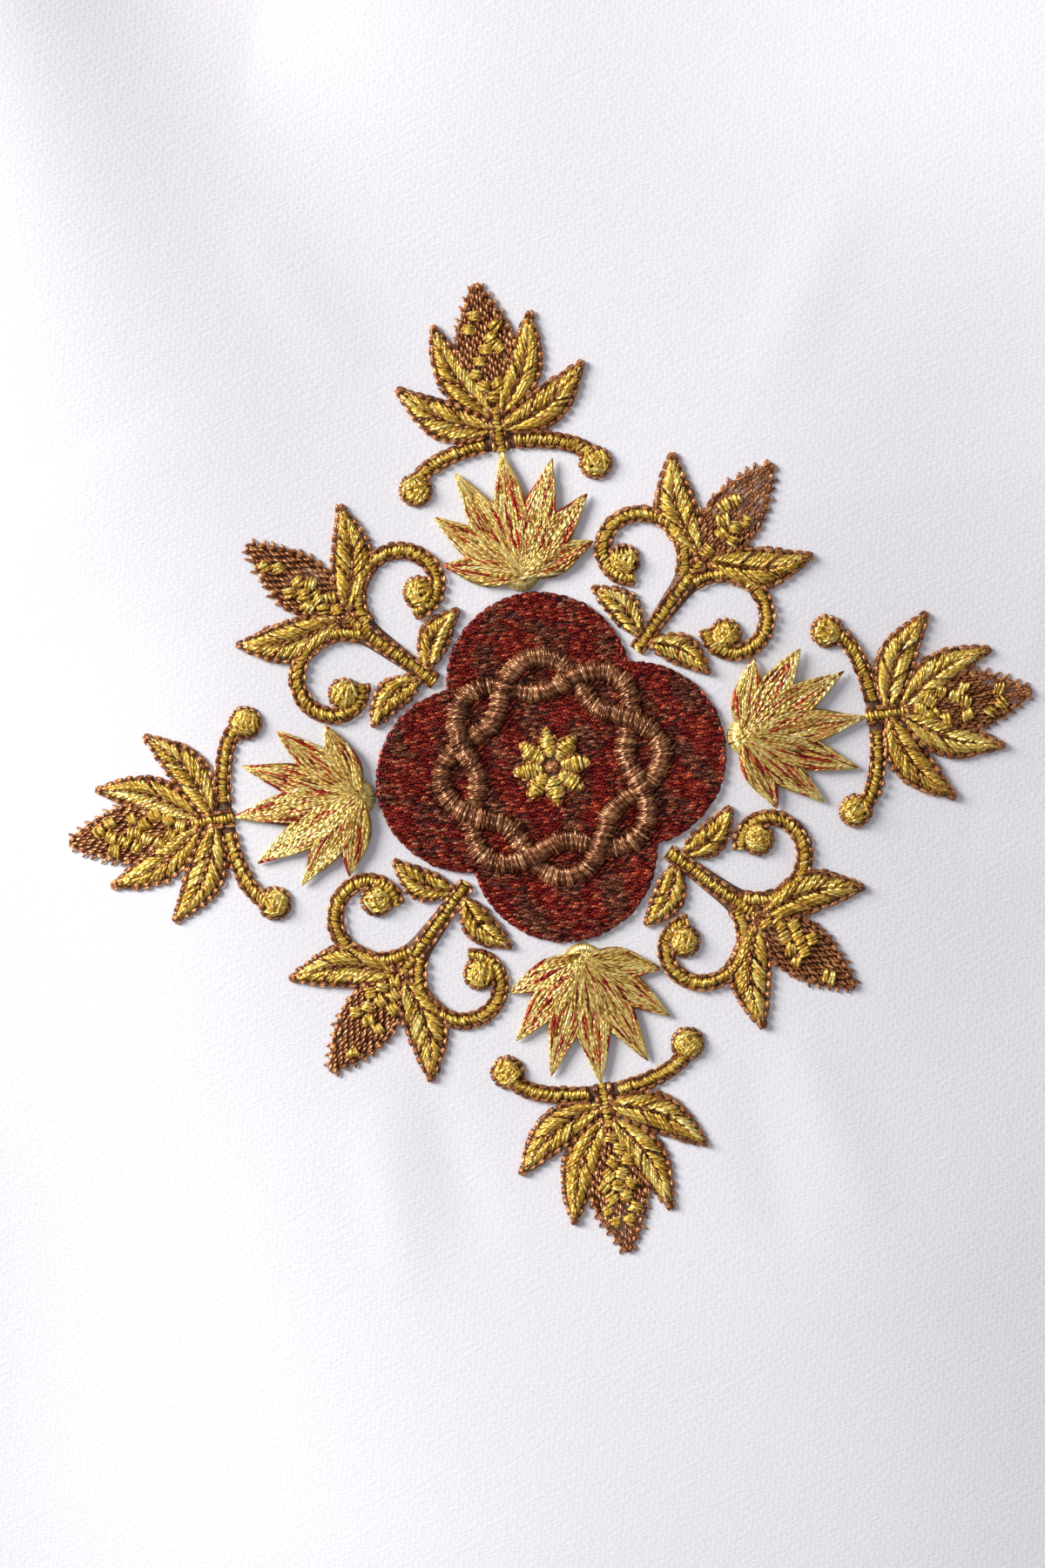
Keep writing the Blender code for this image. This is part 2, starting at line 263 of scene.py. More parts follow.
# Dark, middle and light tone of each thread: the dark tone is painted shade of the gaps between threads and
# the light tone a painted glint, with each stitch's tone at a random place between them.
threadLooks = {
    "gold": ((0.32, 0.15, 0.015), (0.86, 0.53, 0.075), (1.0, 0.85, 0.30)),
    "paleGold": ((0.36, 0.15, 0.02), (0.90, 0.62, 0.15), (1.0, 0.90, 0.44)),
    "copper": ((0.10, 0.028, 0.010), (0.34, 0.125, 0.050), (0.78, 0.40, 0.19)),
    "brown": ((0.14, 0.035, 0.010), (0.46, 0.17, 0.058), (0.88, 0.46, 0.20)),
    "red": ((0.08, 0.002, 0.002), (0.30, 0.008, 0.007), (1.0, 0.22, 0.10)),
    "darkBrown": ((0.05, 0.010, 0.006), (0.20, 0.045, 0.022), (0.95, 0.40, 0.20)),
    "orange": ((0.16, 0.006, 0.004), (0.42, 0.025, 0.012), (0.80, 0.12, 0.05)),
    "white": ((0.62, 0.62, 0.66), (0.80, 0.80, 0.84), (0.92, 0.92, 0.94)),
}
threadGloss = {
    "roughness": 0.30,
    "metallic": 0.40,
    "twistPitch": 0.8,
    "plyGlintAndShade": 0.16,
    "fleckScale": 1500.0,
    "fleckTone": 0.35,
    "bump": 0.7,
    "bumpDepth": 0.00006,
}


def makeThreadMaterial(name):
    # Each stitch has its own tone; two plies twist about each other along the thread, as a
    # sine of the way along and the way round.
    metallic = 0.0 if name == "white" else threadGloss["metallic"]
    material, tree, shader = newMaterial(name + "Thread", threadGloss["roughness"], metallic)
    tone = tree.nodes.new("ShaderNodeAttribute")
    tone.attribute_name = "tone"
    uv = tree.nodes.new("ShaderNodeUVMap")
    uv.uv_map = "thread"
    split = tree.nodes.new("ShaderNodeSeparateXYZ")
    tree.links.new(uv.outputs["UV"], split.inputs[0])
    along = mathNode(tree, "MULTIPLY", split.outputs[0], 2 * math.pi / threadGloss["twistPitch"])
    around = mathNode(tree, "MULTIPLY", split.outputs[1], 4 * math.pi)
    plies = mathNode(tree, "SINE", mathNode(tree, "ADD", along, around))
    place = objectPlace(tree)
    fleck = mathNode(tree, "SUBTRACT", noiseNode(tree, place, threadGloss["fleckScale"]), 0.5)
    value = mathNode(tree, "MULTIPLY_ADD", fleck, threadGloss["fleckTone"])
    tree.links.new(tone.outputs["Fac"], value.node.inputs[2])
    # The ply sine also lightens and darkens the colour: painted glints on the plies and painted shade in the
    # grooves between them.
    value = mathNode(tree, "ADD", value, mathNode(tree, "MULTIPLY", plies, threadGloss["plyGlintAndShade"]))
    stops = zip((0.0, 0.5, 1.0), threadLooks[name])
    tree.links.new(rampNode(tree, value, list(stops)), shader.inputs["Base Color"])
    bumpNode(tree, plies, threadGloss["bump"], threadGloss["bumpDepth"], shader)
    return material


underlayLook = {"roughness": 0.6, "grainScale": 3000.0, "from": 0.35, "to": 0.7, "bump": 0.5,
                "bumpDepth": 0.0002}


def makeUnderlayMaterial(name, colour, light):
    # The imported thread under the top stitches: noise of a thread's size between two tones.
    look = underlayLook
    material, tree, shader = newMaterial(name, look["roughness"])
    place = objectPlace(tree)
    grain = noiseNode(tree, place, look["grainScale"], 3.0)
    stops = [(look["from"], colour), (look["to"], light)]
    tree.links.new(rampNode(tree, grain, stops), shader.inputs["Base Color"])
    bumpNode(tree, grain, look["bump"], look["bumpDepth"], shader)
    return material


# Meshes

def newPiece(name, verts, faces, material, nodes=()):
    # A mesh from whole arrays; faces is one array of quads, or a list of such arrays.
    groups = faces if isinstance(faces, list) else [faces]
    mesh = bpy.data.meshes.new(name)
    mesh.vertices.add(len(verts))
    mesh.vertices.foreach_set("co", (np.asarray(verts) * mm).ravel())
    sizes = np.concatenate([np.full(len(g), g.shape[1]) for g in groups])
    corners = np.concatenate([g.ravel() for g in groups])
    mesh.loops.add(len(corners))
    mesh.loops.foreach_set("vertex_index", corners)
    mesh.polygons.add(len(sizes))
    starts = np.concatenate(([0], np.cumsum(sizes)[:-1]))
    mesh.polygons.foreach_set("loop_start", starts)
    mesh.update(calc_edges=True)
    mesh.validate()
    mesh.shade_smooth()
    mesh.materials.append(material)
    piece = bpy.data.objects.new(name, mesh)
    bpy.context.scene.collection.objects.link(piece)
    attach(piece, "root")
    if nodes:
        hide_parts(*nodes)
    return piece


sheetShape = {
    "fineReach": 62.0,
    "fineStep": 1.0,
    "coarseStep": 2.4,
    "hemLines": [8.8, 8.2, 7.9, 7.5, 6.6, 4.0, 1.2, 0.35, 0.0],
    "hemMargin": 1.0,
    "hemSink": 0.10,
    "foldIn": 0.1,           # how far out the hem's inner fold lies of its full width
    "foldSoft": 0.22,        # and how soft it is, above and below
    "foldSoftUnder": 0.12,
    "edgeShare": 0.55,       # of the hem's rise at the very edge
    "edgeRound": 1.0,
    "rimRound": 0.38,
    "rimFrom": 0.985,        # share of the half side from which a point is on that side
    "ripple": 0.05,
    "rippleLength": (7.3, 9.1),
    "rippleSway": 11.0,
}


def gradedLines(length):
    # Line places from one side to the other: fine in the middle, coarse outside, and lines at
    # the hem's own distances from the edge.
    half = length / 2
    edges = np.array(sheetShape["hemLines"])
    step = sheetShape["fineStep"]
    fine = np.arange(0.0, sheetShape["fineReach"] + step / 2, step)
    inner = half - edges[0] - sheetShape["hemMargin"]
    count = max(2, int(round((inner - fine[-1]) / sheetShape["coarseStep"])))
    coarse = np.linspace(fine[-1], inner, count + 1)[1:]
    side = np.concatenate((fine, coarse, half - edges))
    return np.concatenate((-side[:0:-1], side))


def hemProfile(inward):
    # Rise of the right side over the turned layers, by the distance in from the edge: a soft
    # shoulder at the hem's inner fold, and a quarter round at the outer fold.
    past = inward - cloth["hemWidth"] + sheetShape["foldIn"]
    shoulder = 1 / (1 + np.exp(past / sheetShape["foldSoft"]))
    outer = np.clip(inward / sheetShape["edgeRound"], 0.0, 1.0)
    low = sheetShape["edgeShare"]
    return cloth["hemRise"] * shoulder * (low + (1 - low) * np.sqrt(outer * (2 - outer)))


def satinSides(half):
    # Right and wrong side of the satin over one grid: the right side is raised by the folds, the
    # hem, the creases and a faint ripple; the wrong side is a sheet's thickness lower, and lies
    # on the turned layers along the hem.
    flatX, flatY = np.meshgrid(gradedLines(cloth["width"]), gradedLines(cloth["length"]), indexing="ij")
    x, y = bowedIn(flatX, flatY)
    inward = np.minimum(half[0] - np.abs(flatX), half[1] - np.abs(flatY))
    alongX, alongY = sheetShape["rippleLength"]
    ripple = np.sin(x / alongX + np.sin(y / sheetShape["rippleSway"])) * np.sin(y / alongY + 1.0)
    top = satinTop(x, y) + hemProfile(inward) + sheetShape["ripple"] * ripple
    turnedIn = 1 / (1 + np.exp((inward - cloth["hemWidth"]) / sheetShape["foldSoftUnder"]))
    onHem = foldHeight(x, y) + sheetShape["hemSink"]
    under = (top - cloth["sheet"]) * (1 - turnedIn) + onHem * turnedIn
    return np.stack((x, y, top), -1), np.stack((x, y, under), -1)


def makeSatin(material):
    # Both sides of the satin, joined at the rim by a half round: three rings of points between
    # them, each drawn in less the nearer it is to halfway down.
    half = np.array([cloth["width"] / 2, cloth["length"] / 2])
    upper, lower = satinSides(half)
    index = np.arange(upper[..., 0].size).reshape(upper.shape[:2])
    upper, lower = upper.reshape(-1, 3), lower.reshape(-1, 3)
    quads = np.stack((index[:-1, :-1], index[1:, :-1], index[1:, 1:], index[:-1, 1:]), -1).reshape(-1, 4)
    lowerQuads = quads[:, ::-1] + index.size
    rim = np.concatenate((index[:-1, 0], index[-1, :-1], index[:0:-1, -1], index[0, :0:-1]))
    outward = upper[rim][:, :2] / half
    outward = unit(np.sign(outward) * (np.abs(outward) > sheetShape["rimFrom"])) * sheetShape["rimRound"]
    rings = []
    for part in (0.2, 0.5, 0.8):
        ring = upper[rim] * (1 - part) + lower[rim] * part
        ring[:, :2] -= outward * (1 - math.sin(math.pi * part))
        rings.append(ring)
    upper[rim, :2] -= outward
    lower[rim, :2] -= outward
    count = len(rim)
    layers = [2 * index.size + k * count + np.arange(count) for k in range(3)]
    layers = [rim] + layers + [rim + index.size]
    side = []
    for a, b in zip(layers[:-1], layers[1:]):
        side.append(np.stack((b, np.roll(b, -1), np.roll(a, -1), a), -1))
    verts = np.concatenate([upper, lower] + rings)
    faces = np.concatenate([quads, lowerQuads] + side)
    sheet = newPiece("satinSheet", verts, faces, material, ["satin_ground"])
    print("satin sheet:", len(faces), "faces")


# Stitches

class Stitches:
    # Straight stitches gathered for one mesh: both ends, the lift of the ends over the satin,
    # the rise of the middle, the width and the tone.
    def __init__(self):
        self.parts = []

    def add(self, a, b, lift=0.0, bow=0.2, width=0.36, tone=None, angle=0.0):
        a = turned(np.atleast_2d(np.asarray(a, float)), angle)
        b = turned(np.atleast_2d(np.asarray(b, float)), angle)
        n = len(a)
        if tone is None:
            tone = rng.normal(0.5, 0.16, n)
        columns = [np.broadcast_to(np.asarray(v, float), (n,)) for v in (lift, bow, width, tone)]
        self.parts.append(np.column_stack([a, b] + columns))

    def table(self):
        return np.concatenate(self.parts)


def turned(points, angle):
    # The points turned about the ornament's centre.
    c, s = math.cos(angle), math.sin(angle)
    return np.stack((c * points[..., 0] - s * points[..., 1], s * points[..., 0] + c * points[..., 1]), -1)


threadShape = {"sides": 4, "flatten": 0.8, "sway": 0.03, "endWidth": 0.45}


def makeThreads(name, stitches, material, nodes, steps=4):
    # Every stitch is a closed tube of a few sides along a bow, its steps shorter at both ends:
    # the middle stands over the ends by a power of 4t(1-t), and the tube narrows where it goes
    # into the cloth.
    sides = threadShape["sides"]
    rows = stitches.table()
    a, b = rows[:, 0:2], rows[:, 2:4]
    lift, bow, width, tone = rows[:, 4], rows[:, 5], rows[:, 6], rows[:, 7]
    t = np.linspace(0.0, 1.0, steps + 1)
    t = 0.5 - 0.5 * np.cos(math.pi * t) * np.abs(np.cos(math.pi * t)) ** 0.15
    run = b - a
    length = np.linalg.norm(run, axis=1)
    across = leftOf(unit(run))
    middle = a[:, None, :] + run[:, None, :] * t[None, :, None]
    sway = rng.normal(0.0, threadShape["sway"], len(rows))[:, None] * np.sin(math.pi * t)[None, :]
    middle = middle + across[:, None, :] * sway[..., None]
    arch = (4 * t * (1 - t)) ** 0.6
    taper = threadShape["endWidth"] + (1 - threadShape["endWidth"]) * arch ** 0.5
    base = satinTop(middle[..., 0], middle[..., 1])
    z = base + lift[:, None] + bow[:, None] * arch[None, :]
    turns = 2 * math.pi * np.arange(sides) / sides
    radius = 0.5 * width[:, None] * taper[None, :]
    offset = radius[..., None] * np.cos(turns)
    verts = np.empty(middle.shape[:2] + (sides, 3))
    verts[..., 0:2] = middle[:, :, None, :] + across[:, None, None, :] * offset[..., None]
    verts[..., 2] = z[..., None] + radius[..., None] * threadShape["flatten"] * np.sin(turns)
    count = len(rows)
    index = np.arange(count * (steps + 1) * sides).reshape(count, steps + 1, sides)
    nextSide = np.roll(index, -1, axis=2)
    quads = np.stack((index[:, :-1], index[:, 1:], nextSide[:, 1:], nextSide[:, :-1]), -1)
    quads = quads.reshape(-1, 4)
    capA = index[:, 0, :]
    capB = index[:, -1, ::-1]
    piece = newPiece(name, verts.reshape(-1, 3), [quads, capA, capB], material, nodes)
    mesh = piece.data
    along = (t[None, :] * length[:, None])[..., None] + np.zeros(sides)
    way = np.broadcast_to(np.arange(sides) / sides, along.shape)
    nextWay = way + 1 / sides
    back, front = slice(None, -1), slice(1, None)
    corners = ((way, back), (way, front), (nextWay, front), (nextWay, back))
    uvQuads = np.stack([np.stack((along[:, part], w[:, part]), -1) for w, part in corners], -2)
    caps = np.zeros((2 * count * sides, 2))
    layer = mesh.uv_layers.new(name="thread")
    layer.data.foreach_set("uv", np.concatenate((uvQuads.reshape(-1, 2), caps)).ravel())
    attribute = mesh.attributes.new("tone", "FLOAT", "POINT")
    attribute.data.foreach_set("value", np.repeat(tone, (steps + 1) * sides))
    print(name + ":", count, "stitches,", len(mesh.polygons) * 2, "triangles")
    return piece


def at(path, t):
    # Points at the given shares of the line's length.
    path = np.asarray(path, float)
    pieces = np.linalg.norm(np.diff(path, axis=0), axis=1)
    way = np.concatenate(([0.0], np.cumsum(pieces)))
    t = np.clip(t, 0.0, 1.0) * way[-1]
    return np.stack([np.interp(t, way, path[:, k]) for k in range(2)], -1)


def lengthOf(path):
    return np.linalg.norm(np.diff(path, axis=0), axis=1).sum()


def resampled(path, spacing=None, count=None):
    # The same line with even steps along it.
    if count is None:
        count = max(2, int(round(lengthOf(path) / spacing)) + 1)
    return at(path, np.linspace(0.0, 1.0, count))


def sideways(path, distance, closed=False):
    # The line moved to its left by a distance.
    if closed:
        slope = np.roll(path, -1, axis=0) - np.roll(path, 1, axis=0)
    else:
        slope = np.gradient(path, axis=0)
    return path + leftOf(unit(slope)) * distance


satinStitch = {
    "pitch": 0.26,
    "width": 0.36,
    "shift": 0.12,           # how far a thread is off its place along the lines
    "ragged": 0.09,          # and off their edge
    "lift": 0.07,            # and off the level of its neighbours
    "lean": 0.25,            # of the pitch, between both ends
    "tone": 0.17,
    "leastBow": 0.15,
    "bowPerLength": 0.32,
    "shortest": 0.25,
}


def satinBetween(stitches, left, right, bow, lift=0.0, tone=0.5, angle=0.0, pitch=satinStitch["pitch"]):
    # Satin stitch from one line to the other at an even pitch; each thread is a little off its
    # place, and a short thread bows less than a long one.
    ragged = satinStitch["ragged"]
    size = max(lengthOf(left), lengthOf(right))
    count = max(3, int(round(size / pitch)))
    t = (np.arange(count) + 0.5) / count
    shift = satinStitch["shift"] / size
    a = at(left, t + rng.normal(0.0, shift, count))
    b = at(right, t + rng.normal(0.0, shift, count) + satinStitch["lean"] * pitch / size)
    reach = np.linalg.norm(b - a, axis=1)
    along = unit(b - a)
    a = a - along * rng.normal(0.0, ragged, (count, 1))
    b = b + along * rng.normal(0.0, ragged, (count, 1))
    tones = tone + rng.normal(0.0, satinStitch["tone"], count)
    bows = np.minimum(bow, satinStitch["leastBow"] + satinStitch["bowPerLength"] * reach)
    bows = bows * rng.normal(1.0, 0.06, count)
    lifts = lift + rng.normal(0.0, satinStitch["lift"], count)
    widths = satinStitch["width"] * rng.uniform(0.85, 1.15, count)
    keep = reach > satinStitch["shortest"]
    stitches.add(a[keep], b[keep], lifts[keep], bows[keep], widths[keep], tones[keep], angle)


bean = {"length": 1.15, "spread": 0.21, "width": 0.34, "trim": 0.10, "bow": 0.2, "topRise": 0.12,
        "off": 0.04, "tone": 0.22}


def beanRow(stitches, path, strands=3, lift=0.2, angle=0.0, closed=False, tone=0.5,
            length=bean["length"]):
    # Running stitch gone over several times: strands side by side between the same two holes,
    # the middle one on top.
    if closed:
        path = np.concatenate((path, path[:1]))
    holes = resampled(path, spacing=length)
    a, b = holes[:-1], holes[1:]
    run = unit(b - a)
    side = leftOf(run)
    column = (len(a), 1)
    for k in range(strands):
        offset = (k - (strands - 1) / 2) * bean["spread"]
        start, end = (side * (offset * rng.uniform(0.4, 1.2, column) + rng.normal(0.0, bean["off"], column))
                      for _ in range(2))
        trim = run * rng.uniform(0.0, bean["trim"], column)
        rise = lift + (bean["topRise"] if k == strands // 2 else 0.0) + rng.normal(0.0, 0.03, len(a))
        tones = tone + rng.normal(0.0, bean["tone"], len(a))
        stitches.add(a + start + trim, b + end - trim, rise, bean["bow"], bean["width"], tones, angle)


fill = {"width": 0.34, "stagger": 0.37, "offRow": 0.05, "offPlace": 0.06, "shortest": 0.35, "tone": 0.18}


def fillRows(stitches, inside, reach, rowPitch, length, angle=0.0, lift=0.5, bow=0.10, pick=None, spin=0.0):
    # Rows of short stitches, staggered row by row. A stitch that leaves the shape is drawn back
    # to its edge by halving; pick says which of them are kept, by place.
    rows = np.arange(-reach, reach, rowPitch)
    columns = np.arange(-reach, reach, length)
    v, u = np.meshgrid(rows, columns, indexing="ij")
    stagger = (np.arange(len(rows)) * fill["stagger"] % 1.0)[:, None] * length
    u = u + stagger + rng.normal(0.0, fill["offPlace"] * length, u.shape)
    v = v + rng.normal(0.0, fill["offRow"], v.shape)
    a = np.stack((u, v), -1).reshape(-1, 2)
    b = np.stack((u + length * rng.uniform(0.9, 1.12, u.shape), v), -1).reshape(-1, 2)
    a, b = turned(a, spin), turned(b, spin)
    middle = (a + b) / 2
    keep = inside(middle)
    a, b, middle = a[keep], b[keep], middle[keep]
    for end in (a, b):
        low = np.zeros(len(end))
        high = np.ones(len(end))
        whole = inside(end)
        for _ in range(5):
            half = (low + high) / 2
            good = inside(middle + (end - middle) * half[:, None])
            low = np.where(good, half, low)
            high = np.where(good, high, half)
        part = np.where(whole, 1.0, low + rng.uniform(0.0, 0.15, len(end)))
        end[:] = middle + (end - middle) * part[:, None]
    keep = np.linalg.norm(b - a, axis=1) > fill["shortest"]
    if pick is not None:
        keep &= pick((a + b) / 2)
    a, b = a[keep], b[keep]
    tones = rng.normal(0.5, fill["tone"], len(a))
    lifts = lift + rng.uniform(-0.03, 0.07, len(a))
    stitches.add(a, b, lifts, bow * rng.uniform(0.6, 1.5, len(a)), fill["width"], tones, angle)


# Shapes of the ornament

def leafLines(leaf, count=40):
    # A pointed oval about a bowed rib; its half width follows a sine, fullest below the middle.
    base = np.array(leaf["base"], float)
    run = np.array(leaf["tip"], float) - base
    side = np.array([-run[1], run[0]]) / np.linalg.norm(run)
    t = np.linspace(0.0, 1.0, count)
    rib = base + run * t[:, None] - side * (leaf["bow"] * np.sin(math.pi * t))[:, None]
    half = (leaf["width"] / 2 * np.sin(math.pi * t ** 0.85))[:, None]
    return rib, rib + side * half, rib - side * half


def circle(centre, radius, count=24):
    q = 2 * math.pi * np.arange(count) / count
    return np.asarray(centre) + polar(radius, q)


def patchy(points, size, seed):
    # Smooth pseudo-random value by place: a sum of sine waves in seeded directions.
    generator = np.random.default_rng(seed)
    total = np.zeros(len(points))
    for _ in range(7):
        q = generator.uniform(0, 2 * math.pi)
        pull = 2 * math.pi / (size * generator.uniform(0.6, 1.7))
        way = points[:, 0] * math.cos(q) + points[:, 1] * math.sin(q)
        total += np.sin(pull * way + generator.uniform(0, 6.28))
    return total / 2.6


ornament = {
    "lobeReach": 9.5,
    "lobeRadius": 10.5,
    "stemWidth": 1.8,
    "berryRadius": 1.7,
}
quarter = math.pi / 2


pad = {"depth": 0.12, "edge": 0.06}


def makeUnderlay(name, outlines, material, nodes, inner=(), height=0.34, lift=-0.03, turnBy=(0.0,)):
    # The joined outlines as a low pad: its edge lies on the satin, its inner points are raised.
    coords = []
    faces = []
    for outline in outlines:
        faces.append(list(range(len(coords), len(coords) + len(outline))))
        coords.extend(Vector(p) for p in outline)
    coords.extend(Vector(p) for p in inner)
    flat, _, tris, _, _, source = delaunay_2d_cdt(coords, [], faces, 1, 1e-4)
    tris = np.array([t for t, s in zip(tris, source) if s])
    points = np.array([tuple(p) for p in flat])
    used, tris = np.unique(tris, return_inverse=True)
    tris = tris.reshape(-1, 3)
    points = points[used]
    a, b, c = (points[tris[:, k]] for k in range(3))
    area = (b[:, 0] - a[:, 0]) * (c[:, 1] - a[:, 1]) - (b[:, 1] - a[:, 1]) * (c[:, 0] - a[:, 0])
    tris[area < 0] = tris[area < 0][:, ::-1]
    edges = np.concatenate((tris[:, [0, 1]], tris[:, [1, 2]], tris[:, [2, 0]]))
    forward = {tuple(e) for e in edges.tolist()}
    border = np.array([e for e in edges.tolist() if (e[1], e[0]) not in forward])
    onEdge = np.zeros(len(points), bool)
    onEdge[border.ravel()] = True
    verts, groups, base = [], [[], []], 0
    for turn in turnBy:
        xy = turned(points, turn)
        z = satinTop(xy[:, 0], xy[:, 1]) + lift
        low = np.column_stack((xy, z - pad["depth"]))
        high = np.column_stack((xy, z + np.where(onEdge, pad["edge"], height)))
        n = len(points)
        verts.extend((high, low))
        groups[0].extend((tris + base, tris[:, ::-1] + n + base))
        e = border + base
        groups[1].append(np.column_stack((e[:, 1], e[:, 0], e[:, 0] + n, e[:, 1] + n)))
        base += 2 * n
    faces = [np.concatenate(groups[0]), np.concatenate(groups[1])]
    piece = newPiece(name, np.concatenate(verts), faces, material, nodes)
    print(name + ":", len(piece.data.polygons), "faces")
    return piece


def bandPieces(path, width, closed=False):
    # Four-sided pieces on both sides of a line.
    left = sideways(path, width / 2, closed)
    right = sideways(path, -width / 2, closed)
    lines = (left, path, right)
    pieces = []
    count = len(path)
    for i in range(count if closed else count - 1):
        j = (i + 1) % count
        for k in (0, 1):
            pieces.append([lines[k + 1][i], lines[k + 1][j], lines[k][j], lines[k][i]])
    return pieces


def insideField(points):
    # Within the four lobes or the square between them.
    reach, radius = ornament["lobeReach"], ornament["lobeRadius"]
    good = (np.abs(points) < reach).all(axis=-1)
    for cx, cy in ((reach, 0), (-reach, 0), (0, reach), (0, -reach)):
        good |= np.hypot(points[..., 0] - cx, points[..., 1] - cy) < radius
    return good


redField = {
    "rowPitch": 0.25,
    "stitch": 0.80,
    "lift": 0.40,
    "patch": 6.0,
    "patchSeed": 3,
    "speckle": 0.55,
    "brownAbove": 0.25,
    "redBelow": 0.45,
    "glint": 0.07,           # share of the red stitches that are given the light tone as a painted glint
    "glintTone": 0.95,
    "reach": 20.4,
    "lobeTurn": 0.62 * math.pi,
}


def patchValue(points):
    # Where the red and the brown stitches lie: smooth patches, broken up stitch by stitch.
    speckle = redField["speckle"] * rng.normal(0, 1, len(points))
    return patchy(points, redField["patch"], redField["patchSeed"]) + speckle


def makeRedField():
    # Red and brown fill stitches in patches that overlap, and a red line round the lobes.
    nodes = ["red_field"]
    reach, radius = ornament["lobeReach"], ornament["lobeRadius"]
    outlines = [[(-reach, -reach), (reach, -reach), (reach, reach), (-reach, reach)]]
    for k in range(4):
        outlines.append(turned(circle((reach, 0), radius, 40), k * quarter))
    inner = np.stack(np.meshgrid(np.arange(-18, 19, 2.0), np.arange(-18, 19, 2.0)), -1).reshape(-1, 2)
    inner = inner[insideField(inner * 1.06)]
    makeUnderlay("redUnderlay", outlines, underlays["red"], nodes, inner, 0.38)
    reds, browns = Stitches(), Stitches()
    common = (insideField, redField["reach"], redField["rowPitch"], redField["stitch"])
    fillRows(reds, *common, lift=redField["lift"], pick=lambda p: patchValue(p) < redField["redBelow"])
    # Painted highlights: a few red stitches take the light glint tone.
    for rows in reds.parts:
        bright = rng.random(len(rows)) < redField["glint"]
        rows[bright, -1] = redField["glintTone"]
    fillRows(browns, *common, lift=redField["lift"] + 0.03,
             pick=lambda p: patchValue(p) > redField["brownAbove"])
    q = np.linspace(-redField["lobeTurn"], redField["lobeTurn"], 80)
    for k in range(4):
        rim = np.array([reach, 0.0]) + polar(radius - 0.1, q)
        beanRow(reds, turned(rim, k * quarter), 2, 0.25, tone=0.3)
    makeThreads("redRows", reds, threads["red"], nodes, 3)
    makeThreads("brownRows", browns, threads["darkBrown"], nodes, 3)


braid = {
    "radius": 10.6,
    "swing": 2.1,
    "waves": 4,
    "width": 2.1,
    "pitch": 0.24,
    "thread": 0.34,
    "lift": 0.55,
    "rise": 0.75,
    "crossRise": 0.42,
    "ragged": 0.11,
    "stray": 0.06,
    "tone": 0.26,
    "padWidth": 1.5,
}


def braidLine(sense, count):
    # One strand's line: a circle whose radius swings by a cosine of the way round.
    q = 2 * math.pi * np.arange(count) / count
    r = braid["radius"] + sense * braid["swing"] * np.cos(braid["waves"] * q)
    return polar(r, q)


def makeBraid():
    # Two strands swing about one circle in opposite senses; at each crossing one of them is
    # lifted over the other, in turn, by a sine of twice the swing's phase.
    nodes = ["braid_ring"]
    copper = Stitches()
    for sense in (1, -1):
        path = braidLine(sense, 720)
        count = int(lengthOf(path) / braid["pitch"])
        even = resampled(np.concatenate((path, path[:1])), count=count + 1)[:-1]
        bearing = np.arctan2(even[:, 1], even[:, 0])
        over = 0.5 + 0.5 * sense * np.sin(braid["waves"] * bearing)
        half = braid["width"] / 2
        a = sideways(even, half, True)
        b = sideways(np.roll(even, -1, axis=0), -half, True)
        run = unit(b - a)
        column = (count, 1)
        a = a - run * rng.normal(0, braid["ragged"], column)
        b = b + run * rng.normal(0, braid["ragged"], column)
        a = a - run * rng.exponential(braid["stray"], column)
        b = b + run * rng.exponential(braid["stray"], column)
        lifts = braid["lift"] + braid["crossRise"] * over ** 1.5 + rng.normal(0.0, 0.06, count)
        bows = braid["rise"] * (0.8 + 0.25 * over)
        copper.add(a, b, lifts, bows, braid["thread"], rng.normal(0.5, braid["tone"], count))
    makeThreads("copperBraid", copper, threads["copper"], nodes, 6)
    outlines = []
    for sense in (1, -1):
        outlines.extend(bandPieces(braidLine(sense, 72), braid["padWidth"], True))
    makeUnderlay("braidUnderlay", outlines, underlays["brown"], nodes, (), 0.5, 0.45)


rosette = {"petals": 8, "radius": 4.6, "petalFoot": 0.9, "petalWidth": 2.3, "eye": 1.7, "eyeStitches": 26}


def makeRosette():
    # Satin-stitch petals with brown outlines about a brown eye of crossing stitches.
    nodes = ["rosette"]
    gold, brown = Stitches(), Stitches()
    outlines = [circle((0, 0), rosette["eye"], 16)]
    petal = {"base": (0, rosette["petalFoot"]), "tip": (0, rosette["radius"]),
             "width": rosette["petalWidth"], "bow": 0.0}
    rib, left, right = leafLines(petal, 30)
    for k in range(rosette["petals"]):
        angle = 2 * math.pi * k / rosette["petals"]
        satinBetween(gold, left[2:-1], right[2:-1], 0.5, 0.55, 0.6, angle)
        beanRow(brown, left[1:-1], 1, 0.6, angle)
        beanRow(brown, right[1:-1], 1, 0.6, angle)
        outlines.append(turned(np.concatenate((right, left[-2:0:-1])), angle))
    for _ in range(rosette["eyeStitches"]):
        q = rng.uniform(0, 2 * math.pi)
        r = rng.uniform(0.6, 1.0)
        end = np.array([r * math.cos(q), r * math.sin(q)])
        brown.add(-end, end, 0.75, 0.35, 0.34, 0.6)
    makeThreads("rosetteGold", gold, threads["gold"], nodes, 4)
    makeThreads("rosetteBrown", brown, threads["brown"], nodes, 4)
    makeUnderlay("rosetteUnderlay", outlines, underlays["brown"], nodes, (), 0.3, 0.45)


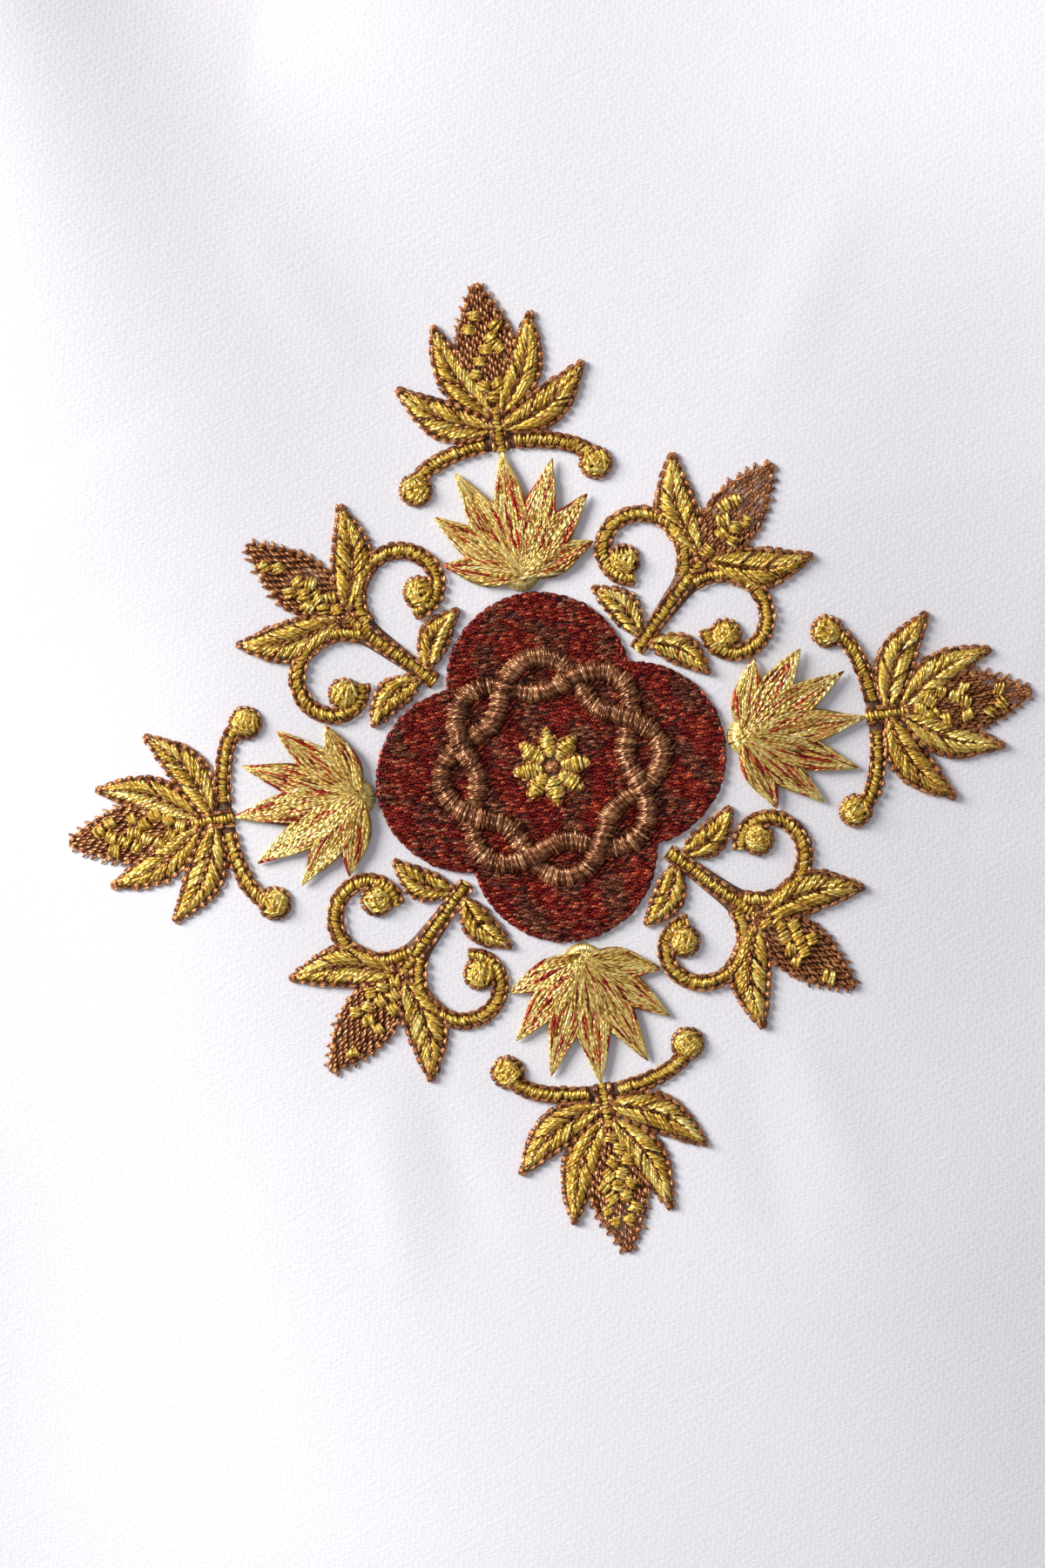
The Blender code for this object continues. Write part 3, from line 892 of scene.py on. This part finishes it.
palmette = {
    "foot": 22.2,
    "disc": (22.6, 2.3),             # its centre's distance and its radius
    "lobes": [(0, 14.0, 4.4), (24, 13.4, 4.2), (48, 11.6, 4.0), (74, 8.8, 3.8)],
    "perLength": 15.0,               # stitches along a millimetre of a lobe
    "stitch": (2.4, 4.6),
    "lift": 0.34,
    "footRise": 0.45,                # of the stitches, highest at the foot
    "redShare": (0.20, 0.04),        # of the stitches, within a lobe and at both its ends
    "redFrom": 0.05,
    "redTo": 0.7,
    "darkShare": 0.16,
    "darker": 0.45,
    "fringe": 34,
}


def palmetteLobes():
    for degrees, length, width in palmette["lobes"]:
        for side in ((1, -1) if degrees else (1,)):
            a = math.radians(degrees) * side
            tip = (length * math.sin(a), palmette["foot"] + length * math.cos(a))
            yield {"base": (0.0, palmette["foot"]), "tip": tip, "width": width, "bow": 0.0}


def stitchLobe(pale, reds, lobe, angle):
    # Long and short stitches from the base outwards: each follows its own flow line, which keeps
    # its share of the lobe's half width. Those nearer the tip lie lower.
    rib, left, right = leafLines(lobe, 60)
    size = np.linalg.norm(rib[-1] - rib[0])
    count = int(size * palmette["perLength"])
    share = rng.uniform(-0.96, 0.96, count)
    t0 = np.sort(rng.uniform(-0.08, 0.80, count))[::-1]
    t1 = np.minimum(t0 + rng.uniform(*palmette["stitch"], count) / size, 1.03)
    grid = np.linspace(0.0, 1.0, 60)
    half = np.linalg.norm(left - rib, axis=1)
    side = (left[30] - rib[30]) / half[30]
    axis = (rib[-1] - rib[0]) / size
    a, b = (rib[0] + axis * (t * size)[:, None]
            + side * (share * np.interp(t, grid, np.maximum(half, 0.45 * (grid < 0.5))))[:, None]
            for t in (t0, t1))
    lifts = palmette["lift"] + palmette["footRise"] * (1 - t0) * rng.uniform(0.7, 1.1, count)
    within = (t0 > palmette["redFrom"]) & (t0 < palmette["redTo"])
    red = rng.random(count) < np.where(within, *palmette["redShare"])
    tones = rng.normal(0.52, 0.2, count) + 0.16 * (t0 - 0.3)
    tones[rng.random(count) < palmette["darkShare"]] -= palmette["darker"]
    for which, mask in ((pale, ~red), (reds, red)):
        if mask.any():
            which.add(a[mask], b[mask], lifts[mask], 0.20, 0.34, tones[mask], angle)


def makePalmettes():
    # Four fans of lobes, with a fringe of stitches round the foot of each.
    nodes = ["palmette_%d" % (k + 1) for k in range(4)]
    pale, reds = Stitches(), Stitches()
    outlines = [circle((0, palmette["disc"][0]), palmette["disc"][1], 16)]
    for lobe in palmetteLobes():
        rib, left, right = leafLines(lobe, 24)
        outlines.append(np.concatenate((right, left[-2:0:-1])))
    for k in range(4):
        angle = -k * quarter
        for lobe in palmetteLobes():
            stitchLobe(pale, reds, lobe, angle)
        fringe = palmette["fringe"]
        q = np.linspace(-1.15, 1.15, fringe) + rng.normal(0, 0.03, fringe)
        centre = np.array([0.0, palmette["disc"][0] + 0.3])
        outer = np.stack((np.sin(q) * 2.5, -np.cos(q) * 2.5), -1) + centre
        innerEnd = np.stack((np.sin(q) * -1.6, np.cos(q) * 2.2), -1) + centre
        pale.add(outer, innerEnd, 0.55, 0.35, 0.38, rng.normal(0.7, 0.15, fringe), angle)
    makeThreads("palmettePale", pale, threads["paleGold"], nodes, 3)
    makeThreads("palmetteRed", reds, threads["orange"], nodes, 4)
    makeUnderlay("palmetteUnderlay", outlines, underlays["ochre"], nodes, (), 0.45,
                 turnBy=[-k * quarter for k in range(4)])


bud = {
    "name": "bud", "turn": 0.0,
    "stem": (36.5, 41.6), "padStem": (36.5, 39.0, 42.0),
    "tendrilStart": 37.6, "tendrilReach": 10.4, "tendrilDrop": 4.0,
    "hidden": 3, "padSteps": 8,
    "pod": {"base": (0, 41.0), "tip": (0, 56.0), "width": 6.6, "bow": 0.0},
    "leaves": [
        {"base": (0.4, 40.6), "tip": (5.6, 52.0), "width": 4.0, "bow": 1.1, "tone": 0.55},
        {"base": (0.3, 39.0), "tip": (10.8, 45.4), "width": 4.2, "bow": 1.3, "tone": 0.52},
    ],
}
scroll = {
    "name": "scroll", "turn": -quarter / 2,
    "stem": (16.4, 29.0), "padStem": (16.4, 22.0, 29.5),
    "start": 19.0, "centre": (6.6, 25.2), "outer": 6.2, "inner": 2.6, "from": 1.02, "to": -0.70,
    "hidden": 4, "padSteps": 26,
    "berry": (7.2, 23.9),
    "pod": {"base": (0, 28.5), "tip": (0, 43.0), "width": 6.0, "bow": 0.0},
    "leaves": [
        {"base": (0.5, 29.5), "tip": (10.0, 37.2), "width": 4.6, "bow": 1.2, "tone": 0.52},
        {"base": (0.6, 18.0), "tip": (8.4, 19.2), "width": 3.4, "bow": -1.0, "tone": 0.52},
    ],
}


def upright(places):
    # Points on the spray's middle line.
    return np.array([[0.0, y] for y in places])


def mirroredLine(line):
    return np.asarray(line) * np.array([-1.0, 1.0])


def tendrilLine(count=30):
    t = np.linspace(0.0, 1.0, count)
    x = bud["tendrilReach"] * np.sin(quarter * t)
    y = bud["tendrilStart"] - bud["tendrilDrop"] * (1 - np.cos(quarter * t))
    return np.stack((x, y), -1)


def scrollLine(count=60):
    # A stem that leaves the middle line and winds inwards round its own centre.
    t = np.linspace(0.0, 1.0, count)
    q = math.pi * (scroll["from"] + (scroll["to"] - scroll["from"]) * t)
    r = scroll["outer"] + (scroll["inner"] - scroll["outer"]) * t
    line = np.array(scroll["centre"]) + polar(r, q)
    return np.concatenate(([[0.0, scroll["start"]]], line))


def stitchStem(gold, brown, line, angle, strands=2):
    # A narrow gold satin column with a brown bean stitch along both of its sides.
    core = 1.1
    line = resampled(line, spacing=0.3)
    satinBetween(gold, sideways(line, core / 2), sideways(line, -core / 2), 0.45, 0.12, 0.45, angle)
    for side in (1, -1):
        beanRow(brown, sideways(line, side * (ornament["stemWidth"] / 2 - 0.12)), strands, 0.2, angle)


def stitchLeaf(gold, brown, leaf, angle, flip):
    # Gold satin blocks slant from the rib to both edges, cut apart by brown veins; a brown line
    # follows the rib, and a wide one the outline.
    rib, left, right = (flip(line) for line in leafLines(leaf, 60))
    tone = leaf["tone"]
    slant = 11
    cuts = (1, 16, 31, 47) if leaf["width"] > 4 else (1, 22, 47)
    for edge, change in ((left, 0.06), (right, -0.06)):
        inset = rib + (edge - rib) * 0.86
        satinBetween(gold, rib[1:6], inset[2:2 + slant], 0.5, 0.08, tone + change, angle)
        for start, stop in zip(cuts[:-1], cuts[1:]):
            change += rng.normal(0.0, 0.07)
            satinBetween(gold, rib[start + 1:stop], inset[start + slant + 1:stop + slant], 0.6, 0.10,
                         tone + change, angle)
            vein = np.stack((rib[stop], inset[min(stop + slant, 58)]))
            beanRow(brown, vein, 1, 0.42, angle, tone=0.25, length=0.9)
        beanRow(brown, edge, 3, 0.22, angle)
    beanRow(brown, rib[2:50], 1, 0.40, angle, tone=0.3)


def stitchBerry(gold, brown, centre, radius, angle):
    # A round pad of crossing stitches, highest in the middle, with a brown ring about it.
    count = 34
    q = rng.uniform(0.0, math.pi, count)
    off = rng.uniform(-0.8, 0.8, count) * radius
    reach = np.sqrt(radius ** 2 - off ** 2) * 0.9
    way = polar(1.0, q)
    side = leftOf(way)
    middle = np.asarray(centre) + side * off[:, None]
    a, b = middle - way * reach[:, None], middle + way * reach[:, None]
    layer = np.sort(rng.uniform(0.1, 0.5, count))
    gold.add(a, b, layer, 0.62 * np.sqrt(1 - (off / radius) ** 2), 0.36, rng.normal(0.55, 0.2, count), angle)
    beanRow(brown, circle(centre, radius + 0.1, 32), 2, 0.18, angle, closed=True, length=0.9)


def insidePod(pod):
    # Within a pod that stands on the spray's middle line, a little off its edge.
    def test(points):
        base, tip = pod["base"][1], pod["tip"][1]
        t = np.clip((points[..., 1] - base) / (tip - base), 0.0, 1.0)
        good = (points[..., 1] > base) & (points[..., 1] < tip)
        return good & (np.abs(points[..., 0]) < pod["width"] / 2 * np.sin(math.pi * t ** 0.85) - 0.2)
    return test


podFill = {"row": 0.33, "stitch": 1.1, "lift": 0.35, "bow": 0.14, "scaleRise": 1.35, "scaleStep": 1.6,
           "scaleSize": 0.72, "scaleTilt": 0.45, "awns": 9, "awn": (0.45, 0.9)}


def stitchPod(gold, brown, pod, angle):
    # Short brown stitches fill it; small gold scales lie over them in staggered rows, each
    # slanting its own way, fewer towards the tip; the outline is a wide brown line.
    inside = insidePod(pod)
    fillRows(brown, inside, 60.0, podFill["row"], podFill["stitch"], angle, podFill["lift"], podFill["bow"],
             spin=quarter)
    rows = int((pod["tip"][1] - pod["base"][1] - 3.0) / podFill["scaleRise"])
    size = podFill["scaleSize"]
    for row in range(rows):
        y = pod["base"][1] + 1.8 + row * podFill["scaleRise"]
        for column in range(-2, 3):
            x = (column + 0.5 * (row % 2)) * podFill["scaleStep"]
            ends = np.array([[x - 0.7, y], [x + 0.7, y]])
            if not inside(ends).all() or rng.random() < 0.15 + 0.5 * (row / rows) ** 2:
                continue
            tilt = rng.normal(podFill["scaleTilt"], 0.2) * (1 if x > 0 else -1)
            q = size * np.array([[-1, -0.8], [-1, 0.8], [1, -0.8], [1, 0.8]])
            q = turned(q, tilt) + np.array([x, y]) + rng.normal(0, 0.08, (4, 2))
            satinBetween(gold, q[:2], q[2:], 0.30, 0.50, 0.55, angle, pitch=0.24)
    rib, left, right = leafLines(pod, 50)
    for edge in (left, right):
        beanRow(brown, edge, 3, 0.22, angle)
    awns = podFill["awns"]
    outwards, onwards = podFill["awn"]
    t = np.linspace(0.35, 0.93, awns)
    for side, edge in ((1, left), (-1, right)):
        foot = at(edge, t)
        tips = foot + np.array([-outwards * side, onwards]) + rng.normal(0, 0.1, (awns, 2))
        brown.add(foot, tips, 0.15, 0.15, 0.36, rng.normal(0.5, 0.15, awns), angle)


def stitchSpray(gold, brown, spray, angle):
    # The middle stem and its pod, then on both sides a winding stem, its berry and the leaves.
    # The first points of the winding stem lie under the middle one and have no stitches.
    stitchStem(gold, brown, upright(spray["stem"]), angle)
    stitchPod(gold, brown, spray["pod"], angle)
    for flip in (np.asarray, mirroredLine):
        stitchStem(gold, brown, flip(spray["line"])[spray["hidden"]:], angle)
        stitchBerry(gold, brown, flip(spray["berry"]), ornament["berryRadius"], angle)
        for leaf in spray["leaves"]:
            stitchLeaf(gold, brown, leaf, angle, flip)


def makeSprays():
    # Four buds on the ornament's axes and four scrolls between them, each mirrored about its own
    # middle line.
    sprays = [dict(bud, line=tendrilLine(), berry=tendrilLine()[-1]), dict(scroll, line=scrollLine())]
    stitched = [(Stitches(), Stitches()) for _ in sprays]
    turns = [-k * quarter for k in range(4)]
    for turn in turns:
        for spray, (gold, brown) in zip(sprays, stitched):
            stitchSpray(gold, brown, spray, turn + spray["turn"])
    for spray, (gold, brown) in zip(sprays, stitched):
        name = spray["name"]
        spray["nodes"] = ["%s_spray_%d" % (name, k + 1) for k in range(4)]
        makeThreads(name + "Gold", gold, threads["gold"], spray["nodes"], 4)
        makeThreads(name + "Brown", brown, threads["brown"], spray["nodes"], 3)
    width = ornament["stemWidth"]
    for spray in sprays:
        outlines = bandPieces(upright(spray["padStem"]), width)
        for flip in (np.asarray, mirroredLine):
            outlines.extend(bandPieces(resampled(flip(spray["line"]), count=spray["padSteps"]), width))
            outlines.append(circle(flip(spray["berry"]), ornament["berryRadius"], 12))
        outlines.extend(leafOutlines([spray["pod"]], spray["leaves"]))
        makeUnderlay(spray["name"] + "Underlay", outlines, underlays["brown"], spray["nodes"],
                     turnBy=[turn + spray["turn"] for turn in turns])


def leafOutlines(single, paired):
    # Closed outlines of leaves that stand alone, and of leaves with their mirror image.
    outlines = []
    for leaf in single + paired:
        rib, left, right = leafLines(leaf, 14)
        ring = np.concatenate((right, left[-2:0:-1]))
        outlines.append(ring)
        if leaf in paired:
            outlines.append(mirroredLine(ring)[::-1])
    return outlines


hemSeam = {"inward": 6.9, "stitch": 2.5, "gap": 0.35, "width": 0.42, "sink": 0.05, "bow": 0.16}


def makeHemSeam():
    # One line of lockstitch along the four sides, sunk a little into the satin.
    seam = Stitches()
    halfX = cloth["width"] / 2 - hemSeam["inward"]
    halfY = cloth["length"] / 2 - hemSeam["inward"]
    corners = np.array([[-1, -1], [1, -1], [1, 1], [-1, 1], [-1, -1]]) * np.array([halfX, halfY])
    for start, end in zip(corners[:-1], corners[1:]):
        holes = resampled(np.array([start, end]), spacing=hemSeam["stitch"])
        run = (end - start) / np.linalg.norm(end - start)
        a = holes[:-1] + run * hemSeam["gap"] / 2
        b = holes[1:] - run * hemSeam["gap"] / 2
        a, b = (np.stack(bowedIn(*end.T), -1) for end in (a, b))
        seam.add(a, b, cloth["hemRise"] - hemSeam["sink"], hemSeam["bow"], hemSeam["width"],
                 rng.normal(0.5, 0.1, len(a)))
    makeThreads("hemSeam", seam, threads["white"], (), 4)


# Camera, light and floor

view = {
    "turn": -9.0,                 # degrees; the ornament leans to the left in the picture
    "centre": (-3.6, -1.4),       # of the picture, from the ornament's centre
    "shown": 180.0,               # long side of the picture at the cloth
    "lens": 100.0,
    "sensor": 36.0,
    "clothHeight": 4.0,
}


def makeCamera():
    # Straight above the cloth, as far away as the lens needs for the length that is shown.
    camera = bpy.data.cameras.new("camera")
    camera.lens = view["lens"]
    camera.sensor_width = view["sensor"]
    camera.clip_start = 0.01
    distance = view["lens"] / view["sensor"] * view["shown"] + view["clothHeight"]
    holder = bpy.data.objects.new("camera", camera)
    holder.location = (view["centre"][0] * mm, view["centre"][1] * mm, distance * mm)
    holder.rotation_euler = (0.0, 0.0, math.radians(view["turn"]))
    bpy.context.scene.collection.objects.link(holder)
    bpy.context.scene.camera = holder


lamps = [
    {"name": "keyLight", "side": 146.0, "rise": 28.0, "reach": 1.5, "size": 0.7, "power": 34.7,
     "colour": (1.0, 0.99, 0.97)},
]


sky = {"colour": (0.90, 0.90, 0.96), "strength": 0.35}
floorLook = {"size": 3.0, "dark": (0.72, 0.72, 0.73), "light": (0.77, 0.77, 0.78), "roughness": 0.7,
             "grainScale": 6.0}


def makeLights():
    # Each lamp stands on a sphere about the cloth by its side and rise, and looks at the middle.
    for lamp in lamps:
        light = bpy.data.lights.new(lamp["name"], "AREA")
        light.shape = "DISK"
        light.size = lamp["size"]
        light.energy = lamp["power"]
        light.color = lamp["colour"]
        holder = bpy.data.objects.new(lamp["name"], light)
        side, rise = math.radians(lamp["side"]), math.radians(lamp["rise"])
        way = Vector((math.cos(side) * math.cos(rise), math.sin(side) * math.cos(rise), math.sin(rise)))
        holder.location = way * lamp["reach"]
        holder.rotation_euler = way.to_track_quat("Z", "Y").to_euler()
        bpy.context.scene.collection.objects.link(holder)
    world = bpy.data.worlds.new("studio")
    world.use_nodes = True
    background = world.node_tree.nodes["Background"]
    background.inputs["Color"].default_value = (*sky["colour"], 1.0)
    background.inputs["Strength"].default_value = sky["strength"]
    bpy.context.scene.world = world


def makeFloor():
    bpy.ops.mesh.primitive_plane_add(size=floorLook["size"], location=(0, 0, 0))
    floor = bpy.context.object
    floor.name = "floor"
    material, tree, shader = newMaterial("floorPaint", floorLook["roughness"])
    place = objectPlace(tree)
    soft = noiseNode(tree, place, floorLook["grainScale"])
    stops = [(0.3, floorLook["dark"]), (0.7, floorLook["light"])]
    tree.links.new(rampNode(tree, soft, stops), shader.inputs["Base Color"])
    floor.data.materials.append(material)


threads = {name: makeThreadMaterial(name) for name in threadLooks}
underlays = {
    # The brown underlay stands for real underlay thread, but it is made dark so that the gaps between the
    # stitches above it show painted shade.
    "brown": makeUnderlayMaterial("brownUnderlay", (0.05, 0.018, 0.008), (0.24, 0.10, 0.045)),
    "red": makeUnderlayMaterial("redUnderlayer", (0.04, 0.003, 0.003), (0.16, 0.02, 0.012)),
    "ochre": makeUnderlayMaterial("ochreUnderlay", (0.20, 0.10, 0.03), (0.60, 0.40, 0.14)),
}

makeFloor()
makeSatin(makeSatinMaterial())
makeHemSeam()
makeRedField()
makeBraid()
makeRosette()
makePalmettes()
makeSprays()
makeCamera()
makeLights()
bpy.context.scene.view_settings.view_transform = "Standard"
print("all pieces made")
